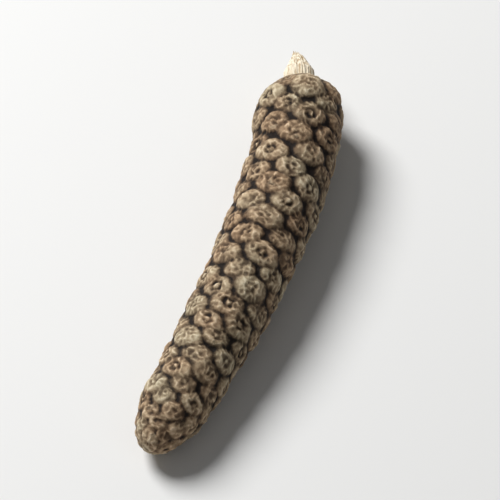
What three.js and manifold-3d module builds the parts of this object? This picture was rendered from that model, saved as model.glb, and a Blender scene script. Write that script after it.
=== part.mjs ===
// A dried long pepper lying on its side: one fruit spike, covered all round in small berries that
// have grown into its flesh, and the broken stub of its stalk.
// Millimetres, +Z up. +X runs from the tip to the stalk. The origin is under the middle of the
// pepper, on the surface that it lies on.
import * as THREE from 'three';
import { mergeVertices } from 'three/addons/utils/BufferGeometryUtils.js';
import Module from 'manifold-3d';

const wasm = await Module();
wasm.setup();

// Driving dimensions of the spike
const SPIKE_CHORD = 30.4; // straight from the foot of the stalk to the tip
const BASE_DIAMETER = 6.2; // over the berries, at the stalk end
const TIP_DIAMETER = 4.1; // over the berries, where the tip would end if it were not rounded
const TAPER_POWER = 2.2; // above 1, so that the spike keeps its thickness and narrows late
const BASE_ROUNDING = 2.8; // length of the rounded shoulder round the stalk
const TIP_ROUNDING = 4.2; // length of the blunt tip
const ROUNDING_POWER = 2.2; // 2 is a round end, more is blunter
const BEND_SHARE = 0.3; // where the bend is, as a share of the chord from the stalk
const BEND_OFFSET = 3.8; // how far the bend's control point lies beside the chord

// Driving dimensions of the berries, mostly as shares of the distance between them
const BERRY_SPACING = 2.1; // mm from one berry to the next on the body of the spike
const SHOULDER_REACH = 0.37; // how far out from its top a berry's shoulder is
const SHOULDER_LIMIT = 0.78; // the same at most, as a share of the way to the next valley or pit
const SHOULDER_DEPTH = 0.06;
const VALLEY_DEPTH = 0.22; // between two berries that touch
const VALLEY_POWER = 3; // above 0, so that the valley is deeper where the berries stand apart
const PIT_DEPTH = 0.33; // between three berries
const SIZE_SPREAD = 0.12; // share by which a berry may be larger or smaller
const PLACE_SPREAD = 0.075; // share of the distance by which a berry may be off its place
const SINK_SPREAD = 0.08; // share of the distance by which a berry may have shrunk into the flesh
const FOOT_RADIUS = 1.35; // where the berries begin round the stalk
const LAST_RADIUS = 0.55; // where they end round the tip
const SEED = 20;

// Driving dimensions of the stalk and of the flattened spot underneath
const STALK_DIAMETER = 2.1;
const STALK_END_DIAMETER = 0.7;
const STALK_LENGTH = 2.4; // what stands out of the spike's foot
const STALK_COLLAR = 0.9; // how much of that is between the berries, before the stalk narrows
const STALK_ROOT = 1.6; // what is inside the spike
const STALK_SIDES = 12;
const STALK_RIB = 0.07; // height of the fibres along the stalk
const STALK_BREAK_DEG = 24; // slope of the broken end
const STALK_GAP = 0.2; // clearance of the stalk in its socket
const REST_DEPTH = 0.25; // how far the lowest berries are pressed flat

// The berries grow in one spiral, each a golden angle round from the one before. Each then touches
// those that come 5, 8 and 13 places after it, as long as the spiral does not rise too steeply.
const GOLDEN_ANGLE = Math.PI * (Math.sqrt(5) - 3);
const LEFT_STEP = 8;
const RIGHT_STEP = 5;
const STEEPEST_RISE = 0.075; // from one berry to the next, as a share of the radius
const CELL_SHAPE = Math.sqrt(3) / 2; // area of a berry's cell over the square of the spacing
const PROFILE_STEPS = 4000;
const UP = new THREE.Vector3(0, 0, 1);

// The spike's middle line, seen from above, from the stalk to the tip
const middleLine = new THREE.QuadraticBezierCurve3(
  new THREE.Vector3(SPIKE_CHORD / 2, 0, 0),
  new THREE.Vector3(SPIKE_CHORD * (0.5 - BEND_SHARE), -BEND_OFFSET, 0),
  new THREE.Vector3(-SPIKE_CHORD / 2, 0, 0),
);
const SPIKE_LENGTH = middleLine.getLength();

// Random numbers from 0 to 1, the same on every run
function seededRandom(seed) {
  let state = seed;
  return () => {
    state = (state + 0x6d2b79f5) >>> 0;
    let mixed = Math.imul(state ^ (state >>> 15), state | 1);
    mixed ^= mixed + Math.imul(mixed ^ (mixed >>> 7), mixed | 61);
    return ((mixed ^ (mixed >>> 14)) >>> 0) / 2 ** 32;
  };
}

// Radius over the berries at a share of the length from the stalk, before the ends are rounded
function bodyRadius(share) {
  const taper = (BASE_DIAMETER - TIP_DIAMETER) / 2;
  return BASE_DIAMETER / 2 - taper * share ** TAPER_POWER;
}

// Share of the body radius that is left where an end rounds off, at a distance from that end
function rounding(distance, length) {
  const inward = Math.max(0, 1 - distance / length);
  return (1 - inward ** ROUNDING_POWER) ** (1 / ROUNDING_POWER);
}

function envelopeRadius(along) {
  const ends = rounding(along, BASE_ROUNDING) * rounding(SPIKE_LENGTH - along, TIP_ROUNDING);
  return bodyRadius(along / SPIKE_LENGTH) * ends;
}

// The bent middle line at a distance from the stalk's foot, as a point and two directions
function spineAt(along) {
  const share = THREE.MathUtils.clamp(along / SPIKE_LENGTH, 0, 1);
  const point = middleLine.getPointAt(share);
  point.z = bodyRadius(share) - REST_DEPTH;
  const ahead = middleLine.getTangentAt(share);
  const side = new THREE.Vector3().crossVectors(ahead, UP);
  return { point, ahead, side };
}

// How far along the skin the next berry of the spiral sits. Near the ends the berries are smaller.
function riseAt(radius) {
  const cell = CELL_SHAPE * BERRY_SPACING ** 2;
  return Math.min(cell / (2 * Math.PI * radius), STEEPEST_RISE * radius);
}

// The places of the berries, in the order that they grow in, from the stalk to the tip
function berryPlaces() {
  const places = [];
  let order = 0;
  let before = { along: 0, radius: envelopeRadius(0) };
  for (let i = 1; i <= PROFILE_STEPS; i++) {
    const along = (SPIKE_LENGTH * (1 - Math.cos((Math.PI * i) / PROFILE_STEPS))) / 2;
    const radius = envelopeRadius(along);
    const smallest = along < SPIKE_LENGTH / 2 ? FOOT_RADIUS : LAST_RADIUS;
    if (radius > smallest) {
      order += Math.hypot(along - before.along, radius - before.radius) / riseAt(radius);
    }
    if (order > places.length) {
      const slope = Math.atan2(before.radius - radius, along - before.along);
      places.push({ along, radius, slope, angle: places.length * GOLDEN_ANGLE });
    }
    before = { along, radius };
  }
  return places;
}

// Every berry's top, with the way out of the skin there and the room that it has
function growBerries() {
  const random = seededRandom(SEED);
  const spread = (amount) => amount * (2 * random() - 1);
  return berryPlaces().map(({ along, radius, slope, angle }) => {
    const spacing = Math.sqrt((2 * Math.PI * radius * riseAt(radius)) / CELL_SHAPE);
    const { point, ahead, side } = spineAt(along);
    const outward = side.clone().multiplyScalar(Math.cos(angle)).addScaledVector(UP, Math.sin(angle));
    const around = new THREE.Vector3().crossVectors(outward, ahead);
    const normal = outward.clone().multiplyScalar(Math.cos(slope)).addScaledVector(ahead, Math.sin(slope));
    const onward = new THREE.Vector3().crossVectors(around, normal);
    const top = point.addScaledVector(outward, radius);
    top.addScaledVector(around, spread(PLACE_SPREAD) * spacing);
    top.addScaledVector(onward, spread(PLACE_SPREAD) * spacing);
    top.addScaledVector(normal, -SINK_SPREAD * random() * spacing);
    return { top, normal, spacing, size: 1 + spread(SIZE_SPREAD) };
  });
}

// An end of the middle line, which closes the skin as one more berry
function endBerry(along, direction) {
  const { point, ahead } = spineAt(along);
  return { top: point, normal: ahead.multiplyScalar(direction), spacing: LAST_RADIUS, size: 1 };
}

// Triangles between neighbouring berries, counter-clockwise from outside, closed at both ends
function berryTriangles(count, foot, tip) {
  const triangles = [];
  for (let i = 0; i + LEFT_STEP + RIGHT_STEP < count; i++) {
    const across = i + LEFT_STEP + RIGHT_STEP;
    triangles.push([i, across, i + RIGHT_STEP], [i, i + LEFT_STEP, across]);
  }
  const edges = triangles.flatMap(([a, b, c]) => [[a, b], [b, c], [c, a]]);
  const known = new Set(edges.map(String));
  for (const [a, b] of edges) {
    if (!known.has(String([b, a]))) triangles.push([b, a, a < count / 2 ? foot : tip]);
  }
  return triangles;
}

function meanOf(vectors) {
  const sum = vectors.reduce((total, vector) => total.add(vector), new THREE.Vector3());
  return sum.divideScalar(vectors.length);
}

// A point moved into the skin, by a share of the room that the berries round it have
function sinkBetween(point, group, share) {
  const inward = meanOf(group.map((berry) => berry.normal)).normalize();
  const room = group.reduce((total, berry) => total + berry.spacing, 0) / group.length;
  return point.clone().addScaledVector(inward, -share * room);
}

// The edge of a berry's top, on the way to a valley or a pit
function shoulderToward(point, berry) {
  const reach = (SHOULDER_REACH * berry.size * berry.spacing) / berry.top.distanceTo(point);
  const beside = berry.top.clone().lerp(point, Math.min(reach, SHOULDER_LIMIT));
  return sinkBetween(beside, [berry], SHOULDER_DEPTH);
}

// How deep two berries meet, as a share of the room that they have
function valleyDepth(one, other) {
  const apart = (2 * one.top.distanceTo(other.top)) / (one.spacing + other.spacing);
  return Math.min(VALLEY_DEPTH * apart ** VALLEY_POWER, PIT_DEPTH);
}

// The skin of the spike. Two neighbouring berries meet in a valley, and three in a pit.
function skinGeometry() {
  const berries = growBerries();
  const foot = berries.length;
  const tip = foot + 1;
  const triangles = berryTriangles(berries.length, foot, tip);
  berries.push(endBerry(0, -1), endBerry(SPIKE_LENGTH, 1));

  const points = berries.map((berry) => berry.top);
  const faces = [];
  const add = (point) => points.push(point) - 1;

  // What lies on the left of each way from one berry to the next
  const banks = new Map();
  for (const corners of triangles) {
    const group = corners.map((corner) => berries[corner]);
    const middle = meanOf(group.map((berry) => berry.top));
    const pit = add(sinkBetween(middle, group, PIT_DEPTH));
    const shoulders = group.map((berry) => add(shoulderToward(middle, berry)));
    corners.forEach((corner, i) => {
      const next = (i + 1) % 3;
      banks.set(String([corner, corners[next]]), { pit, near: shoulders[i], far: shoulders[next] });
    });
  }

  for (const [way, left] of banks) {
    const [a, b] = way.split(',').map(Number);
    if (a > b) continue;
    const right = banks.get(String([b, a]));
    const pair = [berries[a], berries[b]];
    const share = pair[0].size / (pair[0].size + pair[1].size);
    const crossing = pair[0].top.clone().lerp(pair[1].top, share);
    const valley = add(sinkBetween(crossing, pair, valleyDepth(...pair)));
    const [here, there] = pair.map((berry) => add(shoulderToward(crossing, berry)));
    faces.push(a, right.far, here, a, here, left.near);
    faces.push(b, left.far, there, b, there, right.near);
    faces.push(valley, left.near, here, valley, here, right.far);
    faces.push(valley, right.near, there, valley, there, left.far);
    faces.push(valley, left.pit, left.near, valley, left.far, left.pit);
    faces.push(valley, right.far, right.pit, valley, right.pit, right.near);
  }
  return new THREE.BufferGeometry().setFromPoints(points).setIndex(faces);
}

// A geometry as a solid that can be joined and cut
function solidOf(geometry) {
  const bare = geometry.clone();
  bare.deleteAttribute('normal');
  bare.deleteAttribute('uv');
  const merged = mergeVertices(bare);
  return new wasm.Manifold(
    new wasm.Mesh({
      numProp: 3,
      vertProperties: merged.attributes.position.array,
      triVerts: Uint32Array.from(merged.index.array),
    }),
  );
}

function geometryOf(solid) {
  const { vertProperties, triVerts } = solid.getMesh();
  const geometry = new THREE.BufferGeometry();
  geometry.setAttribute('position', new THREE.BufferAttribute(vertProperties, 3));
  geometry.setIndex(new THREE.BufferAttribute(triVerts, 1));
  geometry.computeVertexNormals();
  return geometry;
}

// The stalk along +Y: its root below zero, its fibres as ribs, its end broken off on a slope
function stalkGeometry() {
  const profile = [
    new THREE.Vector2(0, -STALK_ROOT),
    new THREE.Vector2(STALK_DIAMETER / 2, -STALK_ROOT),
    new THREE.Vector2(STALK_DIAMETER / 2, STALK_COLLAR),
    new THREE.Vector2(STALK_END_DIAMETER / 2, STALK_LENGTH),
    new THREE.Vector2(STALK_END_DIAMETER / 2, 2 * STALK_LENGTH),
    new THREE.Vector2(0, 2 * STALK_LENGTH),
  ];
  const stub = new THREE.LatheGeometry(profile, STALK_SIDES);
  const position = stub.attributes.position;
  for (let i = 0; i < position.count; i++) {
    const x = position.getX(i);
    const z = position.getZ(i);
    const rib = Math.cos((STALK_SIDES / 2) * Math.atan2(z, x));
    const share = 1 - (STALK_RIB * (1 - rib)) / STALK_DIAMETER;
    position.setXYZ(i, x * share, position.getY(i), z * share);
  }
  const cutter = new THREE.BoxGeometry(4 * STALK_DIAMETER, 4 * STALK_LENGTH, 4 * STALK_DIAMETER);
  cutter.translate(0, 2 * STALK_LENGTH, 0);
  cutter.rotateZ(-THREE.MathUtils.degToRad(STALK_BREAK_DEG));
  cutter.translate(0, STALK_LENGTH, 0);
  return geometryOf(solidOf(stub).subtract(solidOf(cutter)));
}

// Stands an object at the foot of the spike, with its +Y pointing away from it
function standAtFoot(object) {
  const { point, ahead } = spineAt(0);
  object.position.copy(point);
  object.quaternion.setFromUnitVectors(new THREE.Vector3(0, 1, 0), ahead.negate());
  object.updateMatrix();
  return object;
}

// The plain hole that the stalk stands in
function socketGeometry() {
  const radius = STALK_DIAMETER / 2 + STALK_GAP;
  const length = STALK_ROOT + STALK_GAP + STALK_LENGTH;
  const hole = new THREE.CylinderGeometry(radius, radius, length, STALK_SIDES);
  hole.translate(0, STALK_LENGTH - length / 2, 0);
  return hole.applyMatrix4(standAtFoot(new THREE.Object3D()).matrix);
}

// Everything below the surface that the pepper lies on
function belowGround() {
  const size = 2 * SPIKE_CHORD;
  return new THREE.BoxGeometry(size, size, size).translate(0, 0, -size / 2);
}

function spikeGeometry() {
  const grown = solidOf(skinGeometry());
  return geometryOf(grown.subtract(solidOf(socketGeometry())).subtract(solidOf(belowGround())));
}

function meshOf(name, geometry, material) {
  const mesh = new THREE.Mesh(geometry, material);
  mesh.name = name;
  return mesh;
}

const driedBerries = new THREE.MeshStandardMaterial({ color: 0x6d5f4e, roughness: 0.85, metalness: 0 });
const paleStalk = new THREE.MeshStandardMaterial({ color: 0xc9b48c, roughness: 0.9, metalness: 0 });

const lying = new THREE.Group();
lying.add(meshOf('fruit_spike', spikeGeometry(), driedBerries));
lying.add(standAtFoot(meshOf('stalk', stalkGeometry(), paleStalk)));

// Brings the middle of the pepper's box over the origin
const middle = new THREE.Box3().setFromObject(lying, true).getCenter(new THREE.Vector3());
lying.position.set(-middle.x, -middle.y, 0);

const pepper = new THREE.Group();
pepper.add(lying);

export default pepper;
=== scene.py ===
import math
from typing import NamedTuple

import bpy
import numpy as np
from mathutils import Euler, Matrix, Vector, kdtree


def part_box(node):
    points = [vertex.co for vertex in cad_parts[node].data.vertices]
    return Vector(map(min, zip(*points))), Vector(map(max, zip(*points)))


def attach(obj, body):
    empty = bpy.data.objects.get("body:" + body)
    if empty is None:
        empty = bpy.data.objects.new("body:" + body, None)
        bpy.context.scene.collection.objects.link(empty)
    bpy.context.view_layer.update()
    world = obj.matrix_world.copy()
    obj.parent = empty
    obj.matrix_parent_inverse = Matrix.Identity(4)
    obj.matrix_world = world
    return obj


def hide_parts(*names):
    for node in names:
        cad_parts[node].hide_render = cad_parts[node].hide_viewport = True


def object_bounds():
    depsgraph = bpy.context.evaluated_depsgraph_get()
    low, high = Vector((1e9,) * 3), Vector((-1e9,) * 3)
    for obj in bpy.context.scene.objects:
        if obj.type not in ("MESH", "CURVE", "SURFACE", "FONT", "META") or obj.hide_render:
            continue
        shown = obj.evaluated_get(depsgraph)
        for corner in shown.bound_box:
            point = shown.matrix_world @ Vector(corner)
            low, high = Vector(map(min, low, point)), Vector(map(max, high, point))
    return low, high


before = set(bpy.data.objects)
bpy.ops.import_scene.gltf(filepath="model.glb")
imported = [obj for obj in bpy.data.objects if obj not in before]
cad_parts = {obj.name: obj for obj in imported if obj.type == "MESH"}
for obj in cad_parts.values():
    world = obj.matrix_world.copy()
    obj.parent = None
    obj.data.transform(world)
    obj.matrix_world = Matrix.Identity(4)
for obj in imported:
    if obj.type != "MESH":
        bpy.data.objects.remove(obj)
cad_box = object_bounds()

# The pepper is modelled in millimetres, then brought down to metres in one step
MM = 0.001
UP = Vector((0, 0, 1))

# The spike, with the same driving dimensions as its solid
SPIKE_CHORD = 30.4
BASE_DIAMETER = 6.2
TIP_DIAMETER = 4.1
TAPER_POWER = 2.2
BASE_ROUNDING = 2.8
TIP_ROUNDING = 4.2
ROUNDING_POWER = 2.2
BEND_SHARE = 0.3
BEND_OFFSET = 3.8
REST_DEPTH = 0.25
LINE_STEPS = 2000

# The growth spiral of the berries, as in the solid
BERRY_SPACING = 2.1
STEEPEST_RISE = 0.075
PLACE_SPREAD = 0.075
SINK_SPREAD = 0.08
SIZE_SPREAD = 0.12
FOOT_RADIUS = 1.35
LAST_RADIUS = 0.55
GOLDEN_ANGLE = math.pi * (math.sqrt(5) - 3)
CELL_SHAPE = math.sqrt(3) / 2
PROFILE_STEPS = 4000
SEED = 20
RANDOM_STEP = 0x6D2B79F5
RANDOM_RANGE = 2**32

# The room that the one berry on the very tip has
TIP_BERRY = 0.8

# How the berries sit in the flesh, in shares of the distance between berries
BERRY_WIDTH = 1.12
BERRY_DEPTH = 0.9
BERRY_SINK = 0.06
BERRY_HEART = 1 / 3
FLESH_DEPTH = 0.32

# The ball that the flesh is drawn out of, and how soon it is full at its ends
FLESH_SIDES = 48
FLESH_RINGS = 96
FLESH_FILL = 6

# The kinds of berry, with lengths in shares of a berry's width
BERRY_KINDS = 5
BERRY_CUTS = 2
BERRY_LEVELS = 2
BERRY_CRUMPLE = 0.07
SCAR_RIM = 0.08
SCAR_DEPTH = 0.15
SCAR_NUB = 0.14
FAINTEST_SCAR = 0.3

# The skin over flesh and berries
SKIN_VOXEL = 0.093
SMOOTH_FACTOR = 0.5
SMOOTH_ROUNDS = 2
CRUMPLE_SIZE = 0.8
CRUMPLE_HEIGHT = 0.15
WRINKLE_SIZE = 0.42
WRINKLE_HEIGHT = 0.055
WRINKLE_RIDGES = {"musgrave_type": "RIDGED_MULTIFRACTAL", "octaves": 2}
TOP_MARGIN = 0.34
HOLLOW_ROUNDS = 60
HOLLOW_DEPTH = 0.14
FOLD_ROUNDS = 4
FOLD_DEPTH = 0.02

# The stalk
STALK_DIAMETER = 2.1
STALK_END_DIAMETER = 0.7
STALK_LENGTH = 2.4
STALK_COLLAR = 0.9
STALK_ROOT = 1.4
STALK_BREAK_DEG = 24
STALK_EDGE_DEG = 50
STALK_SIDES = 72
STALK_RINGS = 6
RIB_HEIGHT = 0.05
STRAND_STRETCH = 8

# The torn fibres at the stalk's end. They are longest in the middle of it
FIBRE_COUNT = 30
FIBRE_SIDES = 6
FIBRE_THICKNESS = 0.16
FIBRE_TIP_THICKNESS = 0.04
FIBRE_LENGTH = 0.45
FIBRE_MIDDLE = 1.2
FIBRE_SHORTEST = 0.4
FIBRE_ROOT = 0.15
FIBRE_LEAN = 0.25
FIBRE_REACH = 0.94

# The colours of the berries' skin, from painted shade in the pits up to the tops, partly worn pale and partly
# painted highlights
BERRY_SKIN_AND_PAINTED_LIGHT = (
    (0.06, (0.01, 0.006, 0.004)),
    (0.31, (0.085, 0.058, 0.036)),
    (0.53, (0.22, 0.165, 0.108)),
    (0.76, (0.43, 0.345, 0.24)),
    (1.0, (0.68, 0.59, 0.45)),
)
SHADE_RANGE = (-0.9, 1.4)
REDDISH_TINT = (1.08, 0.92, 0.8)
GREYISH_TINT = (0.98, 1.0, 0.94)
FLECK_COLOUR = (0.55, 0.44, 0.3)

# The patterns on the berries' skin, with scales per millimetre
PATCHES = {"scale": 0.3, "detail": 3, "roughness": 0.5}
GRAIN = {"scale": 3.6, "detail": 5, "roughness": 0.7}
FLECKS = {"scale": 1.5, "detail": 4, "roughness": 0.6}
PITTING = {"scale": 9.0, "detail": 3, "roughness": 0.6}

# What makes the skin lighter or darker, and where each of these starts and ends. Grain and tone are the
# skin's own; folds, crevices and hollows add painted shade, and fold ridges painted highlights
GRAIN_LIGHT = 0.9
TONE_LIGHT = 0.35
# Painted shade in the folds' furrows and painted highlights on their ridges
FOLD_PAINTED_SHADING = 0.36
# Painted shade in the crevices between the berries
CREVICE_PAINTED_SHADE = 0.6
CREVICE_UNEVENNESS = 0.2
CREVICE_EDGE = (0.19, 0.01)
# How much of the painted shade in hollows is eased off on a berry's top
TOP_SHADE_EASING = 0.35
TOP_EDGE = (0.15, 0.45)
PATCH_AGE = 0.9
TONE_AGE = 0.25
GRAIN_AGE = 0.25
AGE_EDGE = (0.35, 0.8)
FLECK_STRENGTH = 0.5
FLECK_EDGE = (0.56, 0.7)
FLECK_HOLLOW = (0.2, -0.6)

# The gloss of the berries' skin, and its fine relief in millimetres
SKIN_GLOSS = 0.25
SKIN_ROUGHNESS = 0.6
SKIN_ROUGHNESS_CHANGE = 0.3
SKIN_BUMP = 0.14
SKIN_BUMP_STRENGTH = 1.0
GRAIN_BUMP = 0.6
PITTING_BUMP = 0.4

# The straw-coloured finish of the stalk, in the same measures
STRANDS = {"scale": 7.0, "detail": 3, "roughness": 0.6}
STRAND_EDGE = (0.32, 0.6)
DARK_STRAND = (0.4, 0.28, 0.15)
PALE_STRAND = (0.86, 0.78, 0.62)
STAINS = {"scale": 1.6, "detail": 4, "roughness": 0.6}
STAIN_EDGE = (0.5, 0.75)
STAIN_STRENGTH = 0.5
STAIN_COLOUR = (0.42, 0.31, 0.18)
STALK_GLOSS = 0.3
STALK_ROUGHNESS = 0.7
STALK_ROUGHNESS_CHANGE = 0.2
STALK_BUMP = 0.1
STALK_BUMP_STRENGTH = 0.8

# The view, in metres from the pepper's middle
VIEW_AZIMUTH_DEG = -70.5
VIEW_ELEVATION_DEG = 56
VIEW_DISTANCE = 0.32
VIEW_NEAREST = 0.01
LENS_MM = 345

# The floor and the light
FLOOR_SIZE = 2
FLOOR_COLOUR = (0.8, 0.8, 0.79)
FLOOR_ROUGHNESS = 0.6
ROOM_LIGHT = 0.125
KEY_LIGHT = {
    "azimuth_deg": VIEW_AZIMUTH_DEG - 136,
    "elevation_deg": 46,
    "distance": 0.4,
    "size": 0.2,
    "watts": 2.1,
}
FILL_LIGHT = {
    "azimuth_deg": VIEW_AZIMUTH_DEG + 50,
    "elevation_deg": 45,
    "distance": 0.5,
    "size": 0.3,
    "watts": 0.08,
}


def deselect_all():
    bpy.ops.object.select_all(action="DESELECT")


def select_only(*pieces):
    deselect_all()
    for piece in pieces:
        piece.select_set(True)
    bpy.context.view_layer.objects.active = pieces[0]


def select_top_face(piece):
    """Goes into edit mode with only the face on top of a piece selected."""
    bpy.ops.object.mode_set(mode="EDIT")
    bpy.ops.mesh.select_all(action="DESELECT")
    bpy.ops.object.mode_set(mode="OBJECT")
    max(piece.data.polygons, key=lambda face: face.center.z).select = True
    bpy.ops.object.mode_set(mode="EDIT")
    bpy.ops.mesh.select_mode(type="FACE")


def own_copy(piece):
    """A copy of a piece, with its own mesh."""
    copy = piece.copy()
    copy.data = piece.data.copy()
    bpy.context.collection.objects.link(copy)
    return copy


def finish_modifier(piece, kind, **settings):
    """Adds a modifier to a piece and applies it."""
    modifier = piece.modifiers.new(kind.lower(), kind)
    for name, value in settings.items():
        setattr(modifier, name, value)
    select_only(piece)
    bpy.ops.object.modifier_apply(modifier=modifier.name)


def bring_to_metres(piece):
    select_only(piece)
    bpy.ops.transform.resize(value=(MM, MM, MM), center_override=(0, 0, 0))
    bpy.ops.object.transform_apply()


# The shape of the spike


def seeded_random(seed):
    """Random numbers from 0 to 1, mixed bit by bit as in the solid, so that the berries agree."""
    state = seed
    while True:
        state = (state + RANDOM_STEP) % RANDOM_RANGE
        mixed = ((state ^ (state >> 15)) * (state | 1)) % RANDOM_RANGE
        mixed ^= (mixed + (mixed ^ (mixed >> 7)) * (mixed | 61)) % RANDOM_RANGE
        yield ((mixed ^ (mixed >> 14)) % RANDOM_RANGE) / RANDOM_RANGE


def spread(random, amount):
    """The next random number, from minus an amount to plus it."""
    return amount * (2 * next(random) - 1)


def middle_line(share):
    """The spike's middle line, seen from above, at a share of its curve from stalk to tip."""
    start = Vector((SPIKE_CHORD / 2, 0, 0))
    bend = Vector((SPIKE_CHORD * (0.5 - BEND_SHARE), -BEND_OFFSET, 0))
    end = Vector((-SPIKE_CHORD / 2, 0, 0))
    share = float(share)
    left = 1 - share
    point = left * left * start + 2 * left * share * bend + share * share * end
    ahead = left * (bend - start) + share * (end - bend)
    return point, ahead.normalized()


LINE_SHARES = np.linspace(0, 1, LINE_STEPS)
LINE_POINTS = np.array([middle_line(share)[0] for share in LINE_SHARES])
LINE_LENGTHS = np.concatenate(([0], np.cumsum(np.linalg.norm(np.diff(LINE_POINTS, axis=0), axis=1))))
SPIKE_LENGTH = LINE_LENGTHS[-1]


def body_radius(share):
    """The tapering radius over the tops of the berries, before the ends are rounded."""
    taper = (BASE_DIAMETER - TIP_DIAMETER) / 2
    return BASE_DIAMETER / 2 - taper * share**TAPER_POWER


def rounding(distance, length):
    """The share of the radius that is left at a distance from an end that is rounded over a length."""
    inward = max(0.0, 1 - distance / length)
    return (1 - inward**ROUNDING_POWER) ** (1 / ROUNDING_POWER)


def envelope_radius(along):
    """The radius over the tops of the berries, with both ends rounded."""
    ends = rounding(along, BASE_ROUNDING) * rounding(SPIKE_LENGTH - along, TIP_ROUNDING)
    return body_radius(along / SPIKE_LENGTH) * ends


def spine_at(along):
    """The bent middle line at a distance from the stalk's foot: a point, the way on and the side."""
    point, ahead = middle_line(np.interp(along, LINE_LENGTHS, LINE_SHARES))
    point.z = body_radius(min(max(along / SPIKE_LENGTH, 0), 1)) - REST_DEPTH
    return point, ahead, ahead.cross(UP)


def rise_at(radius):
    """How far along the spike each berry is from the one before it."""
    cell = CELL_SHAPE * BERRY_SPACING**2
    return min(cell / (2 * math.pi * radius), STEEPEST_RISE * radius)


def berry_places():
    """Where the berries are, from stalk to tip: along the spike, its radius and its slope there."""
    places = []
    order = 0.0
    last_along = 0.0
    last_radius = envelope_radius(0)
    for i in range(1, PROFILE_STEPS + 1):
        along = SPIKE_LENGTH * (1 - math.cos(math.pi * i / PROFILE_STEPS)) / 2
        radius = envelope_radius(along)
        smallest = FOOT_RADIUS if along < SPIKE_LENGTH / 2 else LAST_RADIUS
        if radius > smallest:
            order += math.hypot(along - last_along, radius - last_radius) / rise_at(radius)
        if order > len(places):
            places.append((along, radius, math.atan2(last_radius - radius, along - last_along)))
        last_along = along
        last_radius = radius
    return places


class Berry(NamedTuple):
    """A berry's top, the three directions there, the room that it has and its own size."""

    top: Vector
    around: Vector
    onward: Vector
    normal: Vector
    spacing: float
    size: float


def grow_berries():
    """The berries along the growth spiral, and one more on the tip."""
    random = seeded_random(SEED)
    berries = []
    for order, (along, radius, slope) in enumerate(berry_places()):
        angle = order * GOLDEN_ANGLE
        spacing = math.sqrt(2 * math.pi * radius * rise_at(radius) / CELL_SHAPE)
        point, ahead, side = spine_at(along)
        outward = side * math.cos(angle) + UP * math.sin(angle)
        around = outward.cross(ahead)
        normal = outward * math.cos(slope) + ahead * math.sin(slope)
        onward = around.cross(normal)
        top = point + outward * radius
        top += around * spread(random, PLACE_SPREAD) * spacing
        top += onward * spread(random, PLACE_SPREAD) * spacing
        top -= normal * SINK_SPREAD * next(random) * spacing
        size = 1 + spread(random, SIZE_SPREAD)
        berries.append(Berry(top, around, onward, normal, spacing, size))
    tip, ahead, side = spine_at(SPIKE_LENGTH)
    berries.append(Berry(tip, side, UP, ahead, TIP_BERRY, 1))
    return berries


def move_to_node(berries):
    """Moves the berries to where the solid is. Their tops fill its box."""
    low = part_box("fruit_spike")[0]
    lowest_x = min(berry.top.x for berry in berries)
    lowest_y = min(berry.top.y for berry in berries)
    shift = Vector((low[0] / MM - lowest_x, low[1] / MM - lowest_y, 0))
    for berry in berries:
        berry.top.xyz += shift
    return shift


# The fruit spike


def model_berry(seed):
    """A dried berry, one unit across, with its pole along +Z: round, with a small scar on top."""
    deselect_all()
    bpy.ops.mesh.primitive_cube_add(size=1)
    berry = bpy.context.object
    bpy.ops.object.mode_set(mode="EDIT")
    bpy.ops.mesh.subdivide(number_cuts=BERRY_CUTS)
    bpy.ops.transform.tosphere(value=1)
    bpy.ops.transform.vertex_random(offset=BERRY_CRUMPLE, seed=seed)
    select_top_face(berry)
    strength = FAINTEST_SCAR + (1 - FAINTEST_SCAR) * seed / (BERRY_KINDS - 1)
    bpy.ops.mesh.inset(thickness=SCAR_RIM)
    bpy.ops.transform.translate(value=(0, 0, -SCAR_DEPTH * strength))
    bpy.ops.mesh.inset(thickness=SCAR_RIM)
    bpy.ops.transform.translate(value=(0, 0, SCAR_NUB * strength))
    bpy.ops.object.mode_set(mode="OBJECT")
    return berry


def model_flesh(shift):
    """The flesh that the berries are sunk in, as a ball drawn out along the bent middle line."""
    deselect_all()
    bpy.ops.mesh.primitive_uv_sphere_add(segments=FLESH_SIDES, ring_count=FLESH_RINGS, radius=1)
    flesh = bpy.context.object
    depth = FLESH_DEPTH * BERRY_SPACING
    for vertex in flesh.data.vertices:
        x, y, z = vertex.co
        along = depth + (SPIKE_LENGTH - 2 * depth) * (1 - z) / 2
        thickness = max(envelope_radius(along) - depth, 0) * min(1, math.hypot(x, y) * FLESH_FILL)
        point, ahead, side = spine_at(along)
        angle = math.atan2(y, x)
        vertex.co = point + shift + (side * math.cos(angle) + UP * math.sin(angle)) * thickness
    return flesh


def set_berries(kinds, berries):
    """A copy of a berry at every place, each turned its own way about its pole."""
    copies = []
    random = seeded_random(SEED + 1)
    for order, berry in enumerate(berries):
        copy = own_copy(kinds[order % len(kinds)])
        width = BERRY_WIDTH * berry.spacing * berry.size
        depth = BERRY_DEPTH * berry.spacing * berry.size
        axes = Matrix((berry.around, berry.onward, berry.normal)).transposed()
        turn = Matrix.Rotation(2 * math.pi * next(random), 3, "Z")
        stretch = Matrix.Diagonal((width, width, depth))
        middle = berry.top - berry.normal * (depth / 2 + BERRY_SINK * berry.spacing)
        copy.matrix_world = Matrix.Translation(middle) @ (axes @ turn @ stretch).to_4x4()
        copies.append(copy)
    return copies


def note(piece, name, values):
    """Writes a number on every point of a piece, for its finish to read."""
    piece.data.attributes.new(name, "FLOAT", "POINT").data.foreach_set("value", values)


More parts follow.
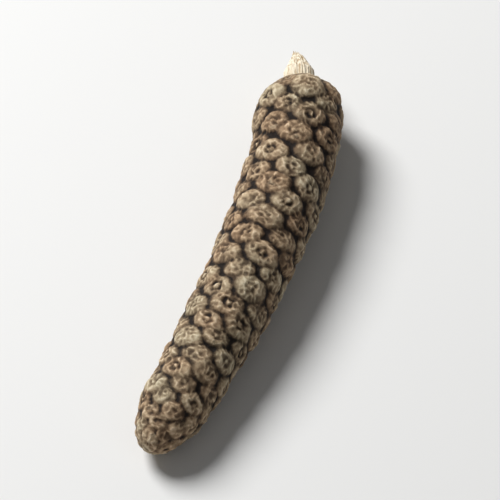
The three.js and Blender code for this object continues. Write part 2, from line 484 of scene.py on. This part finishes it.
def note_growth(spike, berries):
    """Writes on the skin the tone of each point's berry and how far inside that berry the point is."""
    tree = kdtree.KDTree(len(berries))
    for order, berry in enumerate(berries):
        tree.insert(berry.top - berry.normal * berry.spacing * BERRY_HEART, order)
    tree.balance()
    random = seeded_random(SEED + 2)
    tones = [next(random) for _ in berries]
    tops = spike.vertex_groups.new(name="tops")
    inside = []
    tone = []
    for vertex in spike.data.vertices:
        (_, own, nearest), (_, _, second), (_, _, third) = tree.find_n(vertex.co, 3)
        margin = (second + third - 2 * nearest) / (2 * berries[own].spacing)
        inside.append(margin)
        tone.append(tones[own])
        tops.add([vertex.index], min(1, margin / TOP_MARGIN), "REPLACE")
    note(spike, "inside", inside)
    note(spike, "tone", tone)


def crumple(piece, name, kind, size, height, **settings):
    """Raises and sinks a piece's skin by a rough pattern of a size, most of all on its berries' tops."""
    pattern = bpy.data.textures.new(name, kind)
    pattern.noise_scale = size
    for setting, value in settings.items():
        setattr(pattern, setting, value)
    finish_modifier(
        piece,
        "DISPLACE",
        texture=pattern,
        texture_coords="LOCAL",
        strength=height,
        mid_level=0.5,
        vertex_group="tops",
    )


def press_flat(piece):
    """Presses flat what would be below the surface that the pepper lies on."""
    select_only(piece)
    bpy.ops.object.mode_set(mode="EDIT")
    bpy.ops.mesh.select_mode(type="VERT")
    bpy.ops.mesh.select_all(action="DESELECT")
    bpy.ops.object.mode_set(mode="OBJECT")
    for vertex in piece.data.vertices:
        vertex.select = vertex.co.z < 0
    bpy.ops.object.mode_set(mode="EDIT")
    bpy.ops.transform.resize(value=(1, 1, 0), center_override=(0, 0, 0))
    bpy.ops.object.mode_set(mode="OBJECT")


def smoothed(points, edges, rounds):
    """Points of a skin, each brought to the middle of its neighbours, over and over."""
    count = len(points)
    ways = np.concatenate((edges, edges[:, ::-1]))
    here = ways[:, 0]
    there = ways[:, 1]
    shares = 1 / np.bincount(here, minlength=count)
    for _ in range(rounds):
        middles = [np.bincount(here, points[there, axis], count) * shares for axis in range(3)]
        points = np.stack(middles, axis=1)
    return points


def note_hollows(spike):
    """Writes on the skin how deep each point lies under the skin round it, by berries and by folds."""
    mesh = spike.data
    points = np.empty(len(mesh.vertices) * 3)
    normals = np.empty(len(mesh.vertices) * 3)
    edges = np.empty(len(mesh.edges) * 2, dtype=int)
    mesh.vertices.foreach_get("co", points)
    mesh.vertices.foreach_get("normal", normals)
    mesh.edges.foreach_get("vertices", edges)
    points = points.reshape(-1, 3)
    normals = normals.reshape(-1, 3)
    edges = edges.reshape(-1, 2)

    def under_skin(rounds, depth):
        return np.einsum("ij,ij->i", smoothed(points, edges, rounds) - points, normals) / depth

    # The finish paints shade into hollows and folds, and highlights on ridges and tops, from these
    note(spike, "hollow", under_skin(HOLLOW_ROUNDS, HOLLOW_DEPTH))
    note(spike, "fold", under_skin(FOLD_ROUNDS, FOLD_DEPTH))


def make_spike(berries, shift):
    """The berries and the flesh grown together under one skin, crumpled as it dried."""
    kinds = [model_berry(seed) for seed in range(BERRY_KINDS)]
    copies = set_berries(kinds, berries)
    for kind in kinds:
        bpy.data.objects.remove(kind)
    select_only(*copies)
    bpy.ops.object.join()
    spike = bpy.context.object
    bpy.ops.object.transform_apply()
    finish_modifier(spike, "SUBSURF", levels=BERRY_LEVELS, render_levels=BERRY_LEVELS)
    select_only(spike, model_flesh(shift))
    bpy.ops.object.join()
    spike.name = "fruit_spike_skin"
    finish_modifier(spike, "REMESH", mode="VOXEL", voxel_size=SKIN_VOXEL)
    finish_modifier(spike, "SMOOTH", factor=SMOOTH_FACTOR, iterations=SMOOTH_ROUNDS)
    note_growth(spike, berries)
    crumple(spike, "crumple", "CLOUDS", CRUMPLE_SIZE, CRUMPLE_HEIGHT)
    crumple(spike, "wrinkle", "MUSGRAVE", WRINKLE_SIZE, WRINKLE_HEIGHT, **WRINKLE_RIDGES)
    press_flat(spike)
    note_hollows(spike)
    bring_to_metres(spike)
    bpy.ops.object.shade_smooth()
    return spike


# The stalk


def model_fibre():
    """A torn fibre of the stalk, one unit from the origin along +Z, thinning to a point."""
    deselect_all()
    bpy.ops.mesh.primitive_cone_add(
        vertices=FIBRE_SIDES,
        radius1=FIBRE_THICKNESS / 2,
        radius2=FIBRE_TIP_THICKNESS / 2,
        depth=1,
        location=(0, 0, 0.5),
    )
    bpy.ops.object.transform_apply()
    return bpy.context.object


def model_stub():
    """The stub along +Z, its foot at the origin: ribbed, narrowing, broken off aslant."""
    deselect_all()
    bpy.ops.mesh.primitive_cylinder_add(
        vertices=STALK_SIDES,
        radius=STALK_DIAMETER / 2,
        depth=STALK_ROOT,
        location=(0, 0, -STALK_ROOT / 2),
    )
    stub = bpy.context.object
    bpy.ops.object.transform_apply()
    select_top_face(stub)
    bpy.ops.mesh.extrude_region_move(TRANSFORM_OT_translate={"value": (0, 0, STALK_COLLAR)})
    diameters = np.linspace(STALK_DIAMETER, STALK_END_DIAMETER, STALK_RINGS + 1)
    ring_step = (STALK_LENGTH - STALK_COLLAR) / STALK_RINGS
    for wide, narrow in zip(diameters, diameters[1:]):
        bpy.ops.mesh.extrude_region_move(TRANSFORM_OT_translate={"value": (0, 0, ring_step)})
        bpy.ops.transform.resize(value=(narrow / wide, narrow / wide, 1))
    bpy.ops.mesh.extrude_region_move(TRANSFORM_OT_translate={"value": (0, 0, STALK_LENGTH)})
    bpy.ops.object.mode_set(mode="OBJECT")
    random = seeded_random(SEED + 3)
    ribs = [spread(random, RIB_HEIGHT) for _ in range(STALK_SIDES)]
    for vertex in stub.data.vertices:
        turn = math.atan2(vertex.co.y, vertex.co.x) / (2 * math.pi)
        vertex.co.xy *= 1 + ribs[round(turn * STALK_SIDES) % STALK_SIDES]
    bpy.ops.object.mode_set(mode="EDIT")
    bpy.ops.mesh.select_all(action="SELECT")
    slope = math.radians(STALK_BREAK_DEG)
    bpy.ops.mesh.bisect(
        plane_co=(0, 0, STALK_LENGTH),
        plane_no=(-math.sin(slope), 0, math.cos(slope)),
        use_fill=True,
        clear_outer=True,
    )
    bpy.ops.object.mode_set(mode="OBJECT")
    return stub


def set_fibres():
    """The torn fibres, rooted in the slanting end of the stub."""
    fibre = model_fibre()
    random = seeded_random(SEED + 4)
    fibres = []
    slope = math.tan(math.radians(STALK_BREAK_DEG))
    for order in range(FIBRE_COUNT):
        reach = FIBRE_REACH * math.sqrt((order + 0.5) / FIBRE_COUNT)
        angle = order * GOLDEN_ANGLE
        x = reach * math.cos(angle) * STALK_END_DIAMETER / 2
        y = reach * math.sin(angle) * STALK_END_DIAMETER / 2
        share = FIBRE_SHORTEST + (1 - FIBRE_SHORTEST) * next(random)
        length = FIBRE_ROOT + FIBRE_LENGTH * (FIBRE_MIDDLE - reach) * share
        lean_x = spread(random, FIBRE_LEAN)
        lean_y = spread(random, FIBRE_LEAN)
        lean = Euler((lean_x, lean_y, 0)).to_matrix().to_4x4()
        foot = Matrix.Translation((x, y, STALK_LENGTH + slope * x - FIBRE_ROOT))
        copy = own_copy(fibre)
        copy.matrix_world = foot @ lean @ Matrix.Diagonal((1, 1, length, 1))
        fibres.append(copy)
    bpy.data.objects.remove(fibre)
    return fibres


def make_stalk(shift):
    """The stub with its torn fibres, stood in the spike's blunt end."""
    select_only(model_stub(), *set_fibres())
    bpy.ops.object.join()
    stalk = bpy.context.object
    stalk.name = "stalk_stub"
    strands = stalk.data.attributes.new("strands", "FLOAT_VECTOR", "POINT")
    for vertex, strand in zip(stalk.data.vertices, strands.data):
        strand.vector = (vertex.co.x, vertex.co.y, vertex.co.z / STRAND_STRETCH)
    point, ahead, side = spine_at(0)
    stand = Matrix((side, (-ahead).cross(side), -ahead)).transposed().to_4x4()
    stalk.matrix_world = Matrix.Translation(point + shift) @ stand
    bpy.ops.object.transform_apply()
    bring_to_metres(stalk)
    bpy.ops.object.shade_smooth_by_angle(angle=math.radians(STALK_EDGE_DEG))
    return stalk


# Finishes


class Value:
    """A number on its way through a finish. Sums of values add the nodes that work them out."""

    def __init__(self, finish, socket):
        self.finish = finish
        self.socket = socket

    def _sum(self, operation, first, second):
        return self.finish.node("ShaderNodeMath", {"operation": operation}, {0: first, 1: second})

    def __add__(self, other):
        return self._sum("ADD", self, other)

    def __radd__(self, other):
        return self._sum("ADD", other, self)

    def __sub__(self, other):
        return self._sum("SUBTRACT", self, other)

    def __rsub__(self, other):
        return self._sum("SUBTRACT", other, self)

    def __mul__(self, other):
        return self._sum("MULTIPLY", self, other)

    def __rmul__(self, other):
        return self._sum("MULTIPLY", other, self)


class Finish:
    """A material that is built up node by node."""

    # The sockets of a Mix node that are for colours
    FIRST_COLOUR = 6
    SECOND_COLOUR = 7
    MIXED_COLOUR = 2

    def __init__(self, name):
        self.material = bpy.data.materials.new(name)
        self.material.use_nodes = True
        self.tree = self.material.node_tree
        self.shader = self.tree.nodes["Principled BSDF"]

    def node(self, kind, settings=None, inputs=None, output=0):
        """Adds a node, sets it up, feeds it and gives what comes out of it."""
        node = self.tree.nodes.new(kind)
        for name, value in (settings or {}).items():
            if name == "stops":
                self._set_stops(node.color_ramp, value)
            else:
                setattr(node, name, value)
        for name, value in (inputs or {}).items():
            self._feed(node.inputs[name], value)
        return Value(self, node.outputs[output])

    def _set_stops(self, ramp, stops):
        while len(ramp.elements) < len(stops):
            ramp.elements.new(1)
        for element, (place, shade) in zip(ramp.elements, stops):
            element.position = place
            element.color = opaque(shade)

    def _feed(self, socket, value):
        if isinstance(value, Value):
            self.tree.links.new(value.socket, socket)
        else:
            socket.default_value = value

    def set(self, **inputs):
        """Feeds the shader's own sockets."""
        for name, value in inputs.items():
            self._feed(self.shader.inputs[name.replace("_", " ")], value)

    def millimetres(self):
        """The place on the piece, in millimetres."""
        place = self.node("ShaderNodeTexCoord", output="Object")
        inputs = {"Vector": place, "Scale": 1 / MM}
        return self.node("ShaderNodeVectorMath", {"operation": "SCALE"}, inputs)

    def noise(self, place, scale, detail, roughness):
        inputs = {"Vector": place, "Scale": scale, "Detail": detail, "Roughness": roughness}
        return self.node("ShaderNodeTexNoise", None, inputs)

    def written(self, name, output="Fac"):
        """What is written on the piece's points under a name."""
        return self.node("ShaderNodeAttribute", {"attribute_name": name}, None, output)

    def step(self, value, low, high, ease="SMOOTHSTEP"):
        """Goes from 0 to 1 as a value goes from low to high."""
        inputs = {"Value": value, "From Min": low, "From Max": high}
        return self.node("ShaderNodeMapRange", {"interpolation_type": ease}, inputs)

    def mix(self, share, first, second, way="MIX"):
        inputs = {"Factor": share, self.FIRST_COLOUR: first, self.SECOND_COLOUR: second}
        return self.node("ShaderNodeMix", {"data_type": "RGBA", "blend_type": way}, inputs, self.MIXED_COLOUR)

    def bump(self, height, millimetres, strength):
        inputs = {"Strength": strength, "Distance": millimetres * MM, "Height": height}
        return self.node("ShaderNodeBump", None, inputs)


def opaque(shade):
    return (*shade, 1)


def dried_berry_finish():
    """Brown skin with painted shade in pits, hollows and folds and painted highlights on fold ridges, the
    tops partly worn pale and partly painted highlights, aged in patches, with pale flecks.
    """
    finish = Finish("dried_berries")
    place = finish.millimetres()
    hollow = finish.written("hollow")
    fold = finish.written("fold")
    tone = finish.written("tone")
    inside = finish.written("inside")
    patches = finish.noise(place, **PATCHES)
    grain = finish.noise(place, **GRAIN)
    flecks = finish.noise(place, **FLECKS)
    pitting = finish.noise(place, **PITTING)
    uneven = grain - 0.5
    # Painted shade in the crevices between the berries
    painted_crevice_shade = finish.step(inside + CREVICE_UNEVENNESS * uneven, *CREVICE_EDGE)
    # Painted shade in the hollows: the deeper a point lies, the darker, less so on a berry's top
    depth = hollow * (1.0 - TOP_SHADE_EASING * finish.step(inside, *TOP_EDGE))
    lighter = GRAIN_LIGHT * uneven + TONE_LIGHT * (tone - 0.5)
    # Painted shade in folds and crevices, painted highlights on the folds' ridges
    height = lighter - depth - FOLD_PAINTED_SHADING * fold - CREVICE_PAINTED_SHADE * painted_crevice_shade
    # The ramp runs from painted shade in the pits to tops that are partly worn pale and partly painted
    # highlights
    lightness = finish.step(height, *SHADE_RANGE, "LINEAR")
    skin_with_painted_light = finish.node("ShaderNodeValToRGB", {"stops": BERRY_SKIN_AND_PAINTED_LIGHT}, {0: lightness})
    age = finish.step(patches * PATCH_AGE + tone * TONE_AGE + GRAIN_AGE * uneven, *AGE_EDGE)
    tint = finish.mix(age, opaque(REDDISH_TINT), opaque(GREYISH_TINT))
    tinted = finish.mix(1.0, skin_with_painted_light, tint, "MULTIPLY")
    spots = finish.step(flecks, *FLECK_EDGE) * finish.step(hollow, *FLECK_HOLLOW)
    finish.set(
        Base_Color=finish.mix(spots * FLECK_STRENGTH, tinted, opaque(FLECK_COLOUR)),
        Specular_IOR_Level=SKIN_GLOSS,
        Roughness=SKIN_ROUGHNESS + SKIN_ROUGHNESS_CHANGE * grain,
        Normal=finish.bump(grain * GRAIN_BUMP + pitting * PITTING_BUMP, SKIN_BUMP, SKIN_BUMP_STRENGTH),
    )
    return finish.material


def pale_stalk_finish():
    """Straw-coloured strands along the stalk, stained here and there."""
    finish = Finish("pale_stalk")
    strands = finish.noise(finish.written("strands", "Vector"), **STRANDS)
    stains = finish.noise(finish.millimetres(), **STAINS)
    fibres = finish.mix(finish.step(strands, *STRAND_EDGE), opaque(DARK_STRAND), opaque(PALE_STRAND))
    stained = STAIN_STRENGTH * finish.step(stains, *STAIN_EDGE)
    finish.set(
        Base_Color=finish.mix(stained, fibres, opaque(STAIN_COLOUR)),
        Specular_IOR_Level=STALK_GLOSS,
        Roughness=STALK_ROUGHNESS + STALK_ROUGHNESS_CHANGE * stains,
        Normal=finish.bump(strands, STALK_BUMP, STALK_BUMP_STRENGTH),
    )
    return finish.material


def floor_finish():
    finish = Finish("pale_floor")
    finish.set(Base_Color=opaque(FLOOR_COLOUR), Roughness=FLOOR_ROUGHNESS)
    return finish.material


def dress(piece, material):
    piece.data.materials.clear()
    piece.data.materials.append(material)


# The studio


def make_floor():
    deselect_all()
    bpy.ops.mesh.primitive_plane_add(size=FLOOR_SIZE)
    floor = bpy.context.object
    floor.name = "floor"
    dress(floor, floor_finish())


def from_target(target, azimuth_deg, elevation_deg, distance):
    """The place at a distance from a target, and the turn that looks back at it."""
    azimuth = math.radians(azimuth_deg)
    elevation = math.radians(elevation_deg)
    level = math.cos(elevation)
    way = Vector((math.sin(azimuth) * level, -math.cos(azimuth) * level, math.sin(elevation)))
    return target + way * distance, (-way).to_track_quat("-Z", "Y").to_euler()


def add_softbox(name, target, azimuth_deg, elevation_deg, distance, size, watts):
    place, turn = from_target(target, azimuth_deg, elevation_deg, distance)
    bpy.ops.object.light_add(type="AREA", location=place, rotation=turn)
    light = bpy.context.object
    light.name = name
    light.data.shape = "DISK"
    light.data.size = size
    light.data.energy = watts


def make_studio():
    """The camera, two soft lights and a pale room."""
    low, high = cad_box
    target = (Vector(low) + Vector(high)) / 2
    place, turn = from_target(target, VIEW_AZIMUTH_DEG, VIEW_ELEVATION_DEG, VIEW_DISTANCE)
    bpy.ops.object.camera_add(location=place, rotation=turn)
    camera = bpy.context.object
    camera.data.lens = LENS_MM
    camera.data.clip_start = VIEW_NEAREST
    bpy.context.scene.camera = camera
    add_softbox("key_light", target, **KEY_LIGHT)
    add_softbox("fill_light", target, **FILL_LIGHT)
    world = bpy.data.worlds.new("soft_room")
    world.use_nodes = True
    background = world.node_tree.nodes["Background"]
    background.inputs["Color"].default_value = (1, 1, 1, 1)
    background.inputs["Strength"].default_value = ROOM_LIGHT
    bpy.context.scene.world = world
    bpy.context.scene.view_settings.view_transform = "Standard"


berries = grow_berries()
shift = move_to_node(berries)

spike = make_spike(berries, shift)
dress(spike, dried_berry_finish())
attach(spike, "root")
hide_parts("fruit_spike")

stalk = make_stalk(shift)
dress(stalk, pale_stalk_finish())
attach(stalk, "root")
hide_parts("stalk")

make_floor()
make_studio()
